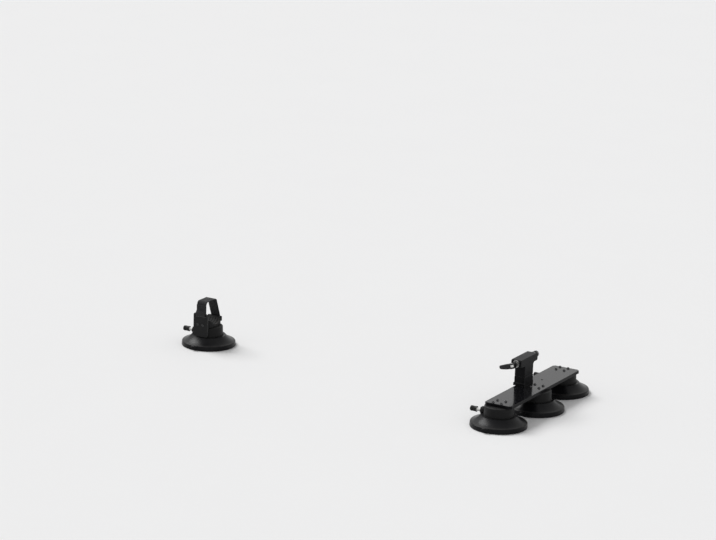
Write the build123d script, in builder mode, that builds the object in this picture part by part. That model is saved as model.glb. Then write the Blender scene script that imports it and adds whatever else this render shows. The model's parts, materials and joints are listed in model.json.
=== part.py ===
from build123d import *
import math
import os

# Vacuum-cup roof carrier for one bicycle, in millimetres.
# The front unit clamps the fork, the rear unit stands apart and holds the rear wheel.
# +X points to the car's front, +Y to its left side and +Z up.
# The origin lies on the roof, under the middle of the whole set.

# Clearances and the overrun that every cut shares
running_clearance = 0.08
seat_clearance = 0.05
soft_clearance = 0.3
overrun = 1.0

# Places of the two units and of the cups under the plate
unit_distance = 1007.5
end_cup_gap = 30.0
end_cup_setback = 4.5
middle_cup_lead = 12.0

# Rubber cup
cup_radius = 75.0
cup_edge_bevel = 1.2
cup_side_draft = 1.0
rim_height = 13.0
rim_round = 3.0
dome_foot_radius = 71.0
dome_sag = 2.2
neck_wall = 4.5
neck_height = 29.5
lip_width = 13.0
suction_depth = 3.0
land_groove_width = 2.5
land_groove_depth = 0.8
land_groove_inset = 6.0
tab_width = 17.0
tab_reach = 5.0
tab_root = 9.0
tab_thickness = 3.6
tab_round = 4.5

# Pump body
flange_lip = 2.5
flange_thickness = 3.0
seat_height = 26.0
clamped_thickness = 19.1
hub_radius = 39.5
hub_draft = 1.0
hub_top = 55.5
hub_top_round = 3.0
spigot_radius = 22.0
pump_height = 33.5
barrel_radius = 10.0
barrel_stand_out = 6.0
barrel_bead = 0.8
barrel_bead_length = 5.0
pump_bore_radius = 7.0
bore_past_axis = 4.0
port_radius = 1.2
port_offset = 3.6

# Pump collar, plunger and knob
collar_flat_width = 19.0
collar_thickness = 3.0
collar_chamfer = 0.8
collar_spigot_radius = 8.2
collar_spigot_length = 6.0
rod_radius = 4.5
shown_rod_length = 13.0
plunger_stroke = 12.0
piston_length = 6.0
piston_stop_gap = 0.3
seal_width = 2.2
seal_depth = 1.9
spring_nub_radius = 3.4
spring_nub_length = 4.0
knob_radius = 7.5
knob_length = 18.0
knob_waist = 0.9
knob_round = 2.4
knob_socket = 11.0

# Return spring
spring_radius = 5.1
spring_wire_radius = 0.6
spring_turns = 5

# Check valve
valve_pocket_radius = 6.5
valve_pocket_depth = 3.4
valve_radius = 5.4
valve_thickness = 1.3
valve_dish = 0.6
valve_stem_radius = 1.3
valve_stem_length = 6.0

# Clamp disc under each cup
disc_radius = 33.5
disc_thickness = 3.0
disc_port_radius = 4.0
disc_screw_circle = 15.0
disc_screw_count = 3

# Base plate
plate_end_margin = 19.0
plate_width = 78.0
plate_thickness = 8.0
plate_corner = 6.0
plate_edge = 0.8
hub_screw_pitch = 24.0
accessory_hole_radius = 3.3
accessory_hole_distance = 60.0
accessory_hole_setback = 4.0

# Screws: radius of the shank, then of the head, and the head's height
m5_radius = 2.5
m5_head_radius = 4.3
m5_head_height = 2.8
m5_length = 17.0
m6_radius = 3.0
m6_head_radius = 5.6
m6_head_height = 3.0
m6_grip = 14.0
m4_radius = 2.0
m4_head_radius = 3.8
m4_head_height = 2.1
m4_length = 11.0
head_taper = 22
socket_share = 0.55
socket_depth_share = 0.6

# Fork riser and upright
fork_setback = 28.0
fork_depth = 30.0
neck_half_width = 24.0
riser_height = 25.0
foot_height = 8.0
foot_margin_y = 2.0
foot_margin_x = 2.0
fork_bolt_distance = 14.0
axle_height = 66.0
head_height = 20.0
head_half_length = 48.0
head_round = 5.0
neck_fillet = 7.0
fork_edge = 1.2

# Fork axle and quick-release skewer
face_radius = 9.6
face_thickness = 2.0
face_tooth_depth = 0.5
face_tooth_width = 1.0
face_tooth_count = 8
axle_radius = 4.5
axle_stub = 5.0
dropout_gap = 8.0
skewer_radius = 2.5
seat_disc_radius = 8.6
seat_disc_thickness = 6.0
seat_groove_depth = 2.0
seat_groove_radius = 10.5
cam_radius = 7.5
cam_throw = 1.0
cam_gap = 0.45
cam_width = 14.0
cam_pin_radius = 2.0
eye_radius = 4.6
eye_width = 6.0
eye_clearance = 0.3
lever_length = 38.0
lever_tilt = 16
lever_thickness = 3.6
lever_offset = 4.4
lever_straight = 14.0
lever_curve = 5.5
lever_tip_width = 10.0
nut_radius = 8.5
nut_length = 10.0
nut_nose = 2.2
nut_flute_radius = 1.5
nut_flute_count = 10
skewer_stick_out = 1.2

# Wheel saddle
tyre_radius = 26.0
wheel_radius = 332.5
pad_thickness = 2.6
saddle_floor = 4.0
saddle_length = 48.0
saddle_half_width = 31.5
saddle_height = 22.0
saddle_round = 14.0
saddle_screw_floor = 2.3
pad_height = 15.0
pad_groove_width = 2.0
pad_groove_depth = 0.9
pad_groove_count = 5
lug_width = 30.0
lug_height = 16.0
lug_base = 3.0
lug_root = 8.0

# Strap bracket
bracket_gap = 8.5
bracket_thickness = 4.0
bracket_width = 46.0
bracket_bottom = 32.0
bracket_top = 98.0
bracket_corner = 6.0
slot_height = 5.0
slot_top_margin = 4.4
slot_side_margin = 5.5
bracket_screw_distance = 8.0

# Webbing strap and its anchor
strap_width = 30.0
strap_thickness = 2.0
strap_top = 132.0
strap_loop_rise = 0.5
strap_shoulder = 12.0
strap_round = 9.0
strap_tail_top = 122.0
strap_tail_gap = 0.2
strap_tail_low = 2.0
strap_tail_high = 9.0
strap_tail_round = 3.0
anchor_width = 38.0
anchor_height = 14.0
anchor_thickness = 2.5
anchor_base = 6.5
anchor_corner = 2.5
anchor_screw_distance = 10.0

# Sizes and places that follow
flange_radius = hub_radius + flange_lip
neck_radius = flange_radius + neck_wall
barrel_reach = flange_radius + barrel_stand_out
end_cup_offset = 2 * cup_radius + end_cup_gap
plate_length = 2 * (end_cup_offset + plate_end_margin)
collar_end = barrel_reach + collar_thickness
knob_start = collar_end + shown_rod_length
knob_end = knob_start + knob_length
front_reach = unit_distance + middle_cup_lead + cup_radius
rear_axis_x = -(front_reach - knob_end) / 2
plate_x = rear_axis_x + unit_distance
plate_bottom = hub_top
plate_top = hub_top + plate_thickness
fork_x = plate_x - fork_setback
axle_z = plate_top + axle_height
disc_top = seat_height - clamped_thickness
disc_bottom = disc_top - disc_thickness

end_cup_x = plate_x - end_cup_setback
stations = {
    "right": (end_cup_x, -end_cup_offset, -1),
    "middle": (plate_x + middle_cup_lead, 0, -1),
    "left": (end_cup_x, end_cup_offset, 1),
    "rear": (rear_axis_x, 0, -1),
}

os.makedirs("parts", exist_ok=True)


def save(builder, name):
    """Label one finished piece and write it as its own STEP file."""
    builder.part.label = name
    export_step(builder.part, f"parts/{name}.step")


def section_plane(x, y):
    """Upright plane through a cup's axis: its x is the radius, its y the height."""
    return Plane(origin=(x, y, 0), x_dir=(1, 0, 0), z_dir=(0, -1, 0))


def pump_plane(x, y, reach):
    """Plane across a pump's axis, at a distance behind the cup's axis and facing rearwards."""
    return Plane(origin=(x - reach, y, pump_height), x_dir=(0, 1, 0), z_dir=(-1, 0, 0))


def upright_axis(x, y):
    return Axis((x, y, 0), (0, 0, 1))


def square_pattern(x, y, pitch):
    """Four places at the corners of a square round a cup's axis."""
    half = pitch / 2
    return [(x + i * half, y + j * half) for i in (-1, 1) for j in (-1, 1)]


def disc_screw_places(x, y):
    """Places of the screws that hold a clamp disc to its pump body."""
    turn = 2 * math.pi / disc_screw_count
    return [
        (x + disc_screw_circle * math.cos(turn * k), y + disc_screw_circle * math.sin(turn * k))
        for k in range(disc_screw_count)
    ]


def disc_screw_seats(x, y):
    """Planes under a clamp disc, one for each of its screws and facing down."""
    return [
        Plane(origin=(px, py, disc_bottom), x_dir=(1, 0, 0), z_dir=(0, 0, -1))
        for px, py in disc_screw_places(x, y)
    ]


def button_screws(seats, radius, head_radius, head_height, length):
    """Group of socket screws with a domed head, one on each seat plane."""
    with BuildPart() as group:
        for seat in seats:
            with BuildSketch(seat.offset(-length)):
                Circle(radius)
            extrude(amount=length)
            with BuildSketch(seat):
                Circle(head_radius)
            extrude(amount=head_height, taper=head_taper)
            with BuildSketch(seat.offset(head_height)):
                RegularPolygon(radius * socket_share * 2, 6)
            extrude(amount=-head_height * socket_depth_share, mode=Mode.SUBTRACT)
    return group


def sunk_screws(seats, radius, head_radius, head_height, length):
    """Group of countersunk socket screws whose heads end flush with each seat plane."""
    with BuildPart() as group:
        for seat in seats:
            with BuildSketch(seat):
                Circle(head_radius - seat_clearance)
            with BuildSketch(seat.offset(-head_height)):
                Circle(radius)
            loft()
            with BuildSketch(seat.offset(-length)):
                Circle(radius)
            extrude(amount=length - head_height)
            with BuildSketch(seat):
                RegularPolygon(radius * socket_share * 2, 6)
            extrude(amount=-head_height * socket_depth_share, mode=Mode.SUBTRACT)
    return group


# Rubber cup: a thick disc with an upright rim, a hollow dome side and a neck round the pump body
def make_cup(x, y, side):
    neck_top = (neck_radius, neck_height)
    dome_foot = (dome_foot_radius, rim_height)
    dome_middle = (
        (neck_top[0] + dome_foot[0]) / 2,
        (neck_top[1] + dome_foot[1]) / 2 - dome_sag,
    )
    rim_top = cup_radius - cup_side_draft
    lip_inner = cup_radius - cup_edge_bevel - lip_width
    pocket_radius = disc_radius + seat_clearance
    bore_radius = spigot_radius + seat_clearance
    recess_radius = flange_radius + seat_clearance
    channel_radius = collar_flat_width / math.sqrt(3) + soft_clearance
    with BuildPart() as cup:
        with BuildSketch(section_plane(x, y)):
            with BuildLine():
                Polyline(
                    dome_foot,
                    (rim_top, rim_height),
                    (cup_radius, cup_edge_bevel),
                    (cup_radius - cup_edge_bevel, 0),
                    (lip_inner, 0),
                    (lip_inner, suction_depth),
                    (pocket_radius, suction_depth),
                    (pocket_radius, disc_top),
                    (bore_radius, disc_top),
                    (bore_radius, seat_height),
                    (recess_radius, seat_height),
                    (recess_radius, neck_height),
                    neck_top,
                )
                ThreePointArc(neck_top, dome_middle, dome_foot)
            make_face()
        revolve(axis=upright_axis(x, y))
        rim_edges = cup.edges().filter_by_position(Axis.Z, rim_height, rim_height)
        fillet(rim_edges.sort_by(SortBy.RADIUS)[-1], rim_round)
        # Channel that lets the pump through the neck
        with BuildSketch(pump_plane(x, y, 0)):
            Circle(channel_radius)
        extrude(amount=cup_radius, mode=Mode.SUBTRACT)
        # Ring grooves in the face that is drawn down on the roof
        for ring in (1, 2):
            groove_radius = lip_inner - ring * land_groove_inset
            with BuildSketch(Plane.XY.offset(suction_depth)):
                with Locations((x, y)):
                    Circle(groove_radius)
                    Circle(groove_radius - land_groove_width, mode=Mode.SUBTRACT)
            extrude(amount=land_groove_depth, mode=Mode.SUBTRACT)
        # Release tab on the rim
        tab_middle = cup_radius - tab_root + (tab_root + tab_reach) / 2
        with BuildSketch(Plane.XY.offset(rim_height - rim_round - tab_thickness / 2)):
            with Locations((x, y + side * tab_middle)):
                Rectangle(tab_width, tab_root + tab_reach)
        extrude(amount=tab_thickness)
        tab_corners = cup.edges().filter_by(Axis.Z).group_by(Axis.Y)[-1 if side > 0 else 0]
        fillet(tab_corners, tab_round)
    return cup


# Pump body: moulded hub with a spigot through the rubber and the pump's barrel
def make_pump_body(x, y):
    top_radius = hub_radius - hub_draft
    with BuildPart() as body:
        with BuildSketch(section_plane(x, y)):
            with BuildLine():
                Polyline(
                    (0, disc_top),
                    (spigot_radius, disc_top),
                    (spigot_radius, seat_height),
                    (flange_radius, seat_height),
                    (flange_radius, seat_height + flange_thickness),
                    (hub_radius, seat_height + flange_thickness),
                    (top_radius, hub_top),
                    (0, hub_top),
                    close=True,
                )
            make_face()
        revolve(axis=upright_axis(x, y))
        fillet(body.edges().filter_by_position(Axis.Z, hub_top, hub_top), hub_top_round)
        # Barrel with a bead at its mouth
        with BuildSketch(pump_plane(x, y, 0)):
            Circle(barrel_radius)
        extrude(amount=barrel_reach)
        with BuildSketch(pump_plane(x, y, barrel_reach - barrel_bead_length)):
            Circle(barrel_radius + barrel_bead)
        extrude(amount=barrel_bead_length)
        # Pump bore, the collar's seat and the two ports down to the valve
        with BuildSketch(pump_plane(x, y, -bore_past_axis)):
            Circle(pump_bore_radius)
        extrude(amount=bore_past_axis + barrel_reach + overrun, mode=Mode.SUBTRACT)
        with BuildSketch(pump_plane(x, y, barrel_reach - collar_spigot_length)):
            Circle(collar_spigot_radius + seat_clearance)
        extrude(amount=collar_spigot_length + overrun, mode=Mode.SUBTRACT)
        valve_ceiling = disc_top + valve_pocket_depth
        with BuildSketch(Plane.XY.offset(disc_top)):
            with Locations((x, y)):
                Circle(valve_pocket_radius)
        extrude(amount=valve_pocket_depth, mode=Mode.SUBTRACT)
        with BuildSketch(Plane.XY.offset(valve_ceiling)):
            with Locations((x, y)):
                Circle(valve_stem_radius + seat_clearance)
        extrude(amount=valve_stem_length + seat_clearance, mode=Mode.SUBTRACT)
        with BuildSketch(Plane.XY.offset(valve_ceiling)):
            with Locations((x - port_offset, y), (x, y - port_offset), (x, y + port_offset)):
                Circle(port_radius)
        extrude(amount=pump_height - pump_bore_radius / 2 - valve_ceiling, mode=Mode.SUBTRACT)
        # Threaded holes for the screws above and below
        with BuildSketch(Plane.XY.offset(hub_top)):
            with Locations(*square_pattern(x, y, hub_screw_pitch)):
                Circle(m5_radius + seat_clearance)
        extrude(amount=-(m5_length - plate_thickness + overrun), mode=Mode.SUBTRACT)
        with BuildSketch(Plane.XY.offset(disc_top)):
            with Locations(*disc_screw_places(x, y)):
                Circle(m4_radius + seat_clearance)
        extrude(amount=m4_length - disc_thickness + overrun, mode=Mode.SUBTRACT)
    return body


# Collar nut that closes the barrel and guides the plunger
def make_pump_collar(x, y):
    with BuildPart() as collar:
        with BuildSketch(pump_plane(x, y, barrel_reach)):
            RegularPolygon(collar_flat_width / 2, 6, major_radius=False)
        extrude(amount=collar_thickness)
        outer_face = collar.faces().sort_by(Axis.X)[0]
        chamfer(outer_face.edges(), collar_chamfer)
        with BuildSketch(pump_plane(x, y, barrel_reach - collar_spigot_length)):
            Circle(collar_spigot_radius)
        extrude(amount=collar_spigot_length)
        with BuildSketch(pump_plane(x, y, collar_end)):
            Circle(rod_radius + running_clearance)
        extrude(amount=-(collar_thickness + collar_spigot_length + overrun), mode=Mode.SUBTRACT)
    return collar


# Plunger rod with the piston at its inner end
piston_outer = barrel_reach - collar_spigot_length - piston_stop_gap
piston_inner = piston_outer - piston_length
piston_radius = pump_bore_radius - running_clearance


def make_plunger_rod(x, y):
    seal_middle = (piston_outer + piston_inner) / 2
    with BuildPart() as rod:
        with BuildSketch(pump_plane(x, y, piston_inner)):
            Circle(piston_radius)
        extrude(amount=piston_length)
        with BuildSketch(pump_plane(x, y, seal_middle - seal_width / 2 - seat_clearance)):
            Circle(piston_radius + overrun)
            Circle(pump_bore_radius - seal_depth - seat_clearance, mode=Mode.SUBTRACT)
        extrude(amount=seal_width + 2 * seat_clearance, mode=Mode.SUBTRACT)
        with BuildSketch(pump_plane(x, y, piston_inner - spring_nub_length)):
            Circle(spring_nub_radius)
        extrude(amount=spring_nub_length)
        with BuildSketch(pump_plane(x, y, piston_outer)):
            Circle(rod_radius)
        extrude(amount=knob_start + knob_socket - piston_outer)
    return rod


# Seal ring in the piston's groove
def make_piston_seal(x, y):
    seal_middle = (piston_outer + piston_inner) / 2
    with BuildPart() as seal:
        with BuildSketch(pump_plane(x, y, seal_middle - seal_width / 2)):
            Circle(pump_bore_radius - seat_clearance)
            Circle(pump_bore_radius - seal_depth, mode=Mode.SUBTRACT)
        extrude(amount=seal_width)
    return seal


# Knob: a waisted cap on the rod's outer end
def make_plunger_knob(x, y):
    waist_radius = knob_radius - knob_waist
    middle = (knob_start + knob_end) / 2
    spine = Plane(origin=(x, y, pump_height), x_dir=(-1, 0, 0), z_dir=(0, 1, 0))
    with BuildPart() as knob:
        with BuildSketch(spine):
            with BuildLine():
                Polyline(
                    (knob_end, knob_radius),
                    (knob_end, 0),
                    (knob_start, 0),
                    (knob_start, knob_radius),
                )
                ThreePointArc((knob_start, knob_radius), (middle, waist_radius), (knob_end, knob_radius))
            make_face()
        revolve(axis=Axis((x, y, pump_height), (-1, 0, 0)))
        fillet(knob.faces().sort_by(Axis.X)[0].edges(), knob_round)
        with BuildSketch(pump_plane(x, y, knob_start)):
            Circle(rod_radius + seat_clearance)
        extrude(amount=knob_socket + seat_clearance, mode=Mode.SUBTRACT)
    return knob


# Return spring between the bore's end and the piston
def make_return_spring(x, y):
    wire_room = spring_wire_radius + seat_clearance
    coil_length = piston_inner + bore_past_axis - 2 * wire_room
    with BuildPart() as spring:
        with BuildLine() as coil:
            Helix(
                pitch=coil_length / spring_turns,
                height=coil_length,
                radius=spring_radius,
                center=(x + bore_past_axis - wire_room, y, pump_height),
                direction=(-1, 0, 0),
            )
        with BuildSketch(Plane(origin=coil.line @ 0, z_dir=coil.line % 0)):
            RegularPolygon(spring_wire_radius, 6)
        sweep(is_frenet=True)
    return spring


# Umbrella valve under the pump, over the ports
def make_check_valve(x, y):
    ceiling = disc_top + valve_pocket_depth
    with BuildPart() as valve:
        with BuildSketch(section_plane(x, y)):
            with BuildLine():
                Polyline(
                    (0, ceiling + valve_stem_length),
                    (valve_stem_radius, ceiling + valve_stem_length),
                    (valve_stem_radius, ceiling - valve_dish),
                    (valve_radius, ceiling - seat_clearance),
                    (valve_radius, ceiling - valve_thickness / 2),
                    (valve_stem_radius, ceiling - valve_dish - valve_thickness),
                    (0, ceiling - valve_dish - valve_thickness),
                    close=True,
                )
            make_face()
        revolve(axis=upright_axis(x, y))
    return valve


# Disc that clamps the rubber to the pump body from below
def make_clamp_disc(x, y):
    with BuildPart() as disc:
        with BuildSketch(Plane.XY.offset(disc_bottom)):
            with Locations((x, y)):
                Circle(disc_radius)
                Circle(disc_port_radius, mode=Mode.SUBTRACT)
        extrude(amount=disc_thickness)
        with Locations(*disc_screw_seats(x, y)):
            CounterSinkHole(m4_radius + seat_clearance, m4_head_radius, counter_sink_angle=90)
    return disc


for name, (x, y, side) in stations.items():
    save(make_cup(x, y, side), f"{name}_cup")
    save(make_pump_body(x, y), f"{name}_pump_body")
    save(make_pump_collar(x, y), f"{name}_pump_collar")
    save(make_plunger_rod(x, y), f"{name}_plunger_rod")
    save(make_piston_seal(x, y), f"{name}_piston_seal")
    save(make_plunger_knob(x, y), f"{name}_plunger_knob")
    save(make_return_spring(x, y), f"{name}_return_spring")
    save(make_check_valve(x, y), f"{name}_check_valve")
    save(make_clamp_disc(x, y), f"{name}_clamp_disc")


# Countersunk screws of the clamp discs
front_names = ("right", "middle", "left")
m4_sunk_height = m4_head_radius - m4_radius
front_disc_seats = [seat for name in front_names for seat in disc_screw_seats(*stations[name][:2])]
save(
    sunk_screws(front_disc_seats, m4_radius, m4_head_radius, m4_sunk_height, m4_length),
    "front_disc_screws",
)
rear_disc_seats = disc_screw_seats(*stations["rear"][:2])
save(
    sunk_screws(rear_disc_seats, m4_radius, m4_head_radius, m4_sunk_height, m4_length),
    "rear_disc_screws",
)


# Base plate across the front unit
hub_screw_places = [
    place for name in front_names for place in square_pattern(*stations[name][:2], hub_screw_pitch)
]
fork_bolt_places = [(fork_x, -fork_bolt_distance), (fork_x, fork_bolt_distance)]
accessory_places = [
    (plate_x - accessory_hole_setback, -accessory_hole_distance),
    (plate_x - accessory_hole_setback, accessory_hole_distance),
]

with BuildPart() as base_plate:
    with BuildSketch(Plane.XY.offset(plate_bottom)):
        with Locations((plate_x, 0)):
            plate_outline = Rectangle(plate_width, plate_length)
        chamfer(plate_outline.vertices(), plate_corner)
    extrude(amount=plate_thickness)
    chamfer(base_plate.faces().sort_by(Axis.Z)[-1].edges(), plate_edge)
    with BuildSketch(Plane.XY.offset(plate_bottom)):
        with Locations(*hub_screw_places):
            Circle(m5_radius + seat_clearance)
        with Locations(*fork_bolt_places):
            Circle(m6_radius + seat_clearance)
        with Locations(*accessory_places):
            Circle(accessory_hole_radius)
    extrude(amount=plate_thickness, mode=Mode.SUBTRACT)
    # Countersinks under the plate for the fork bolts
    for place in fork_bolt_places:
        with BuildSketch(Plane.XY.offset(plate_bottom)):
            with Locations(place):
                Circle(m6_head_radius)
        with BuildSketch(Plane.XY.offset(plate_bottom + m6_head_height)):
            with Locations(place):
                Circle(m6_radius + seat_clearance)
        loft(mode=Mode.SUBTRACT)
save(base_plate, "base_plate")

hub_screw_seats = [Plane(origin=(px, py, plate_top)) for px, py in hub_screw_places]
save(button_screws(hub_screw_seats, m5_radius, m5_head_radius, m5_head_height, m5_length), "hub_screws")


# Fork riser: lower block with a foot on the plate
riser_top = plate_top + riser_height
with BuildPart() as fork_riser:
    with BuildSketch(Plane.XY.offset(plate_top)):
        with Locations((fork_x - foot_margin_x / 2, 0)):
            Rectangle(fork_depth + foot_margin_x, 2 * (neck_half_width + foot_margin_y))
    extrude(amount=foot_height)
    chamfer(fork_riser.faces().sort_by(Axis.Z)[-1].edges(), fork_edge)
    with BuildSketch(Plane.XY.offset(plate_top)):
        with Locations((fork_x, 0)):
            Rectangle(fork_depth, 2 * neck_half_width)
    extrude(amount=riser_height)
    chamfer(fork_riser.faces().sort_by(Axis.Z)[-1].edges(), fork_edge)
    with BuildSketch(Plane.XY.offset(plate_top)):
        with Locations(*fork_bolt_places):
            Circle(m6_radius + seat_clearance)
    extrude(amount=riser_height, mode=Mode.SUBTRACT)
save(fork_riser, "fork_riser")


# Fork upright: T-shaped block with the axle's bore through its head
head_bottom = axle_z - head_height / 2
head_top = axle_z + head_height / 2


def axle_plane(y):
    """Plane across the fork's axle at y, facing the car's left side."""
    return Plane(origin=(fork_x, y, axle_z), x_dir=(1, 0, 0), z_dir=(0, 1, 0))


# Directions along the closed lever and along its pin: the lever points rearwards and down
tilt = math.radians(lever_tilt)
lever_direction = (math.cos(tilt), 0, math.sin(tilt))
pin_direction = (-math.sin(tilt), 0, math.cos(tilt))


with BuildPart() as fork_upright:
    with BuildSketch(Plane.YZ.offset(fork_x - fork_depth / 2)) as upright_outline:
        with BuildLine():
            Polyline(
                (-neck_half_width, riser_top),
                (neck_half_width, riser_top),
                (neck_half_width, head_bottom),
                (head_half_length, head_bottom),
                (head_half_length, head_top),
                (-head_half_length, head_top),
                (-head_half_length, head_bottom),
                (-neck_half_width, head_bottom),
                close=True,
            )
        make_face()
        under_head = upright_outline.vertices().group_by(Axis.Y)[1].sort_by(Axis.X)
        fillet(under_head[1:3], neck_fillet)
        head_ends = upright_outline.vertices().group_by(Axis.X)
        fillet(head_ends[0] + head_ends[-1], head_round)
    extrude(amount=fork_depth)
    end_faces = fork_upright.faces().filter_by(Axis.X).sort_by(Axis.X)
    chamfer(end_faces[0].edges() + end_faces[-1].edges(), fork_edge)
    with BuildSketch(axle_plane(-head_half_length)):
        Circle(axle_radius + seat_clearance)
    extrude(amount=2 * head_half_length, mode=Mode.SUBTRACT)
    with BuildSketch(Plane.XY.offset(riser_top)):
        with Locations(*fork_bolt_places):
            Circle(m6_radius + seat_clearance)
    extrude(amount=m6_grip + overrun, mode=Mode.SUBTRACT)
save(fork_upright, "fork_upright")

fork_bolt_seats = [
    Plane(origin=(px, py, plate_bottom), x_dir=(1, 0, 0), z_dir=(0, 0, -1)) for px, py in fork_bolt_places
]
fork_bolt_length = plate_thickness + riser_height + m6_grip
save(sunk_screws(fork_bolt_seats, m6_radius, m6_head_radius, m6_head_height, fork_bolt_length), "fork_bolts")


# Serrated steel faces on the head's two ends
face_y = head_half_length + face_thickness


def make_dropout_face(side):
    tooth_circle = (face_radius + axle_radius) / 2
    with BuildPart() as face:
        with BuildSketch(axle_plane(side * head_half_length)):
            Circle(face_radius)
            Circle(axle_radius + seat_clearance, mode=Mode.SUBTRACT)
        extrude(amount=side * face_thickness)
        with BuildSketch(axle_plane(side * face_y)):
            with PolarLocations(tooth_circle, face_tooth_count):
                Rectangle(face_radius - axle_radius + 2 * overrun, face_tooth_width)
        extrude(amount=-side * face_tooth_depth, mode=Mode.SUBTRACT)
    return face


save(make_dropout_face(-1), "right_dropout_face")
save(make_dropout_face(1), "left_dropout_face")

# Hollow axle whose stubs carry the fork's dropouts
axle_half_length = face_y + axle_stub
with BuildPart() as axle_tube:
    with BuildSketch(axle_plane(-axle_half_length)):
        Circle(axle_radius)
        Circle(skewer_radius + running_clearance, mode=Mode.SUBTRACT)
    extrude(amount=2 * axle_half_length)
save(axle_tube, "axle_tube")

# Skewer rod with the eye that the cam's pin goes through
clamp_y = face_y + dropout_gap
groove_y = clamp_y + seat_disc_thickness - seat_groove_depth
pin_y = -(groove_y + cam_gap + cam_radius + cam_throw)
nut_end_y = clamp_y + nut_length
pin_plane = Plane(origin=(fork_x, pin_y, axle_z), x_dir=lever_direction, z_dir=pin_direction)
with BuildPart() as skewer_rod:
    with BuildSketch(axle_plane(pin_y)):
        Circle(skewer_radius)
    extrude(amount=nut_end_y + skewer_stick_out - pin_y)
    with BuildSketch(pin_plane.offset(-eye_width / 2)):
        Circle(eye_radius)
    extrude(amount=eye_width)
    with BuildSketch(pin_plane.offset(-eye_width / 2)):
        Circle(cam_pin_radius + running_clearance)
    extrude(amount=eye_width, mode=Mode.SUBTRACT)
save(skewer_rod, "skewer_rod")

# Seat of the cam, hollowed to the cam's round
with BuildPart() as cam_seat:
    with BuildSketch(axle_plane(-clamp_y)):
        Circle(seat_disc_radius)
    extrude(amount=-seat_disc_thickness)
    with BuildSketch(pin_plane.offset(-seat_disc_radius - overrun)):
        with Locations((0, -groove_y - seat_groove_radius - pin_y)):
            Circle(seat_groove_radius)
    extrude(amount=2 * (seat_disc_radius + overrun), mode=Mode.SUBTRACT)
    with BuildSketch(axle_plane(-clamp_y)):
        Circle(skewer_radius + running_clearance)
    extrude(amount=-seat_disc_thickness, mode=Mode.SUBTRACT)
save(cam_seat, "cam_seat")

# Cam lever, closed: the cam is forked round the eye, and the arm curves inwards
arm_line_y = -(lever_offset - lever_thickness / 2)
arm_end = (-lever_length - 2 * overrun, arm_line_y + lever_curve)
slot_left = -(eye_radius + eye_clearance)
slot_right = cam_radius + overrun
with BuildPart() as cam_lever:
    with BuildSketch(pin_plane.offset(-cam_width / 2)):
        with Locations((0, cam_throw)):
            Circle(cam_radius)
        with BuildLine():
            arm_root = Line((0, arm_line_y), (-lever_straight, arm_line_y))
            TangentArc(arm_root @ 1, arm_end, tangent=(-1, 0))
        trace(line_width=lever_thickness)
    extrude(amount=cam_width)
    # Side view of the lever: it narrows to a rounded tip
    with BuildSketch(Plane(origin=pin_plane.origin, x_dir=lever_direction, z_dir=(0, -1, 0))):
        with BuildLine():
            tip_half = lever_tip_width / 2
            tip_start = -(lever_length - tip_half)
            Polyline(
                (tip_start, tip_half),
                (-lever_straight, cam_width / 2),
                (slot_right, cam_width / 2),
                (slot_right, -cam_width / 2),
                (-lever_straight, -cam_width / 2),
                (tip_start, -tip_half),
            )
            ThreePointArc((tip_start, -tip_half), (tip_start - tip_half, 0), (tip_start, tip_half))
        make_face()
    extrude(amount=2 * cam_radius, both=True, mode=Mode.INTERSECT)
    with BuildSketch(pin_plane.offset(-eye_width / 2 - eye_clearance)):
        with Locations(((slot_left + slot_right) / 2, 0)):
            Rectangle(slot_right - slot_left, 4 * cam_radius)
    extrude(amount=eye_width + 2 * eye_clearance, mode=Mode.SUBTRACT)
    with BuildSketch(pin_plane.offset(-cam_width / 2)):
        Circle(cam_pin_radius + seat_clearance)
    extrude(amount=cam_width, mode=Mode.SUBTRACT)
save(cam_lever, "cam_lever")

with BuildPart() as cam_pin:
    with BuildSketch(pin_plane.offset(-cam_width / 2)):
        Circle(cam_pin_radius)
    extrude(amount=cam_width)
save(cam_pin, "cam_pin")

# Fluted adjusting nut on the rod's far end
with BuildPart() as skewer_nut:
    with BuildSketch(axle_plane(clamp_y)):
        Circle(nut_radius - nut_flute_radius)
    extrude(amount=nut_nose)
    with BuildSketch(axle_plane(clamp_y + nut_nose)):
        Circle(nut_radius)
        with PolarLocations(nut_radius, nut_flute_count):
            Circle(nut_flute_radius, mode=Mode.SUBTRACT)
    extrude(amount=nut_length - nut_nose)
    with BuildSketch(axle_plane(clamp_y)):
        Circle(skewer_radius + running_clearance)
    extrude(amount=nut_length, mode=Mode.SUBTRACT)
save(skewer_nut, "skewer_nut")


# Wheel saddle: a trough for the tyre with a lug for the strap's bracket
trough_radius = tyre_radius + pad_thickness
trough_z = hub_top + saddle_floor + trough_radius
saddle_top = hub_top + saddle_height
bracket_inner = saddle_half_width + bracket_gap
bracket_outer = bracket_inner + bracket_thickness
lug_middle_z = hub_top + lug_base + lug_height / 2
saddle_screw_z = hub_top + saddle_screw_floor
anchor_middle_z = hub_top + anchor_base + anchor_height / 2


def near_plane(reach):
    """Upright plane on the rear unit's near side, facing away from the wheel."""
    return Plane(origin=(rear_axis_x, -reach, 0), x_dir=(1, 0, 0), z_dir=(0, -1, 0))


def far_plane(reach):
    """Upright plane on the rear unit's far side, facing away from the wheel."""
    return Plane(origin=(rear_axis_x, reach, 0), x_dir=(-1, 0, 0), z_dir=(0, 1, 0))


bracket_screw_places = [(-bracket_screw_distance, lug_middle_z), (bracket_screw_distance, lug_middle_z)]
anchor_screw_places = [(-anchor_screw_distance, anchor_middle_z), (anchor_screw_distance, anchor_middle_z)]
anchor_screw_depth = m4_length - anchor_thickness - strap_thickness

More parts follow.
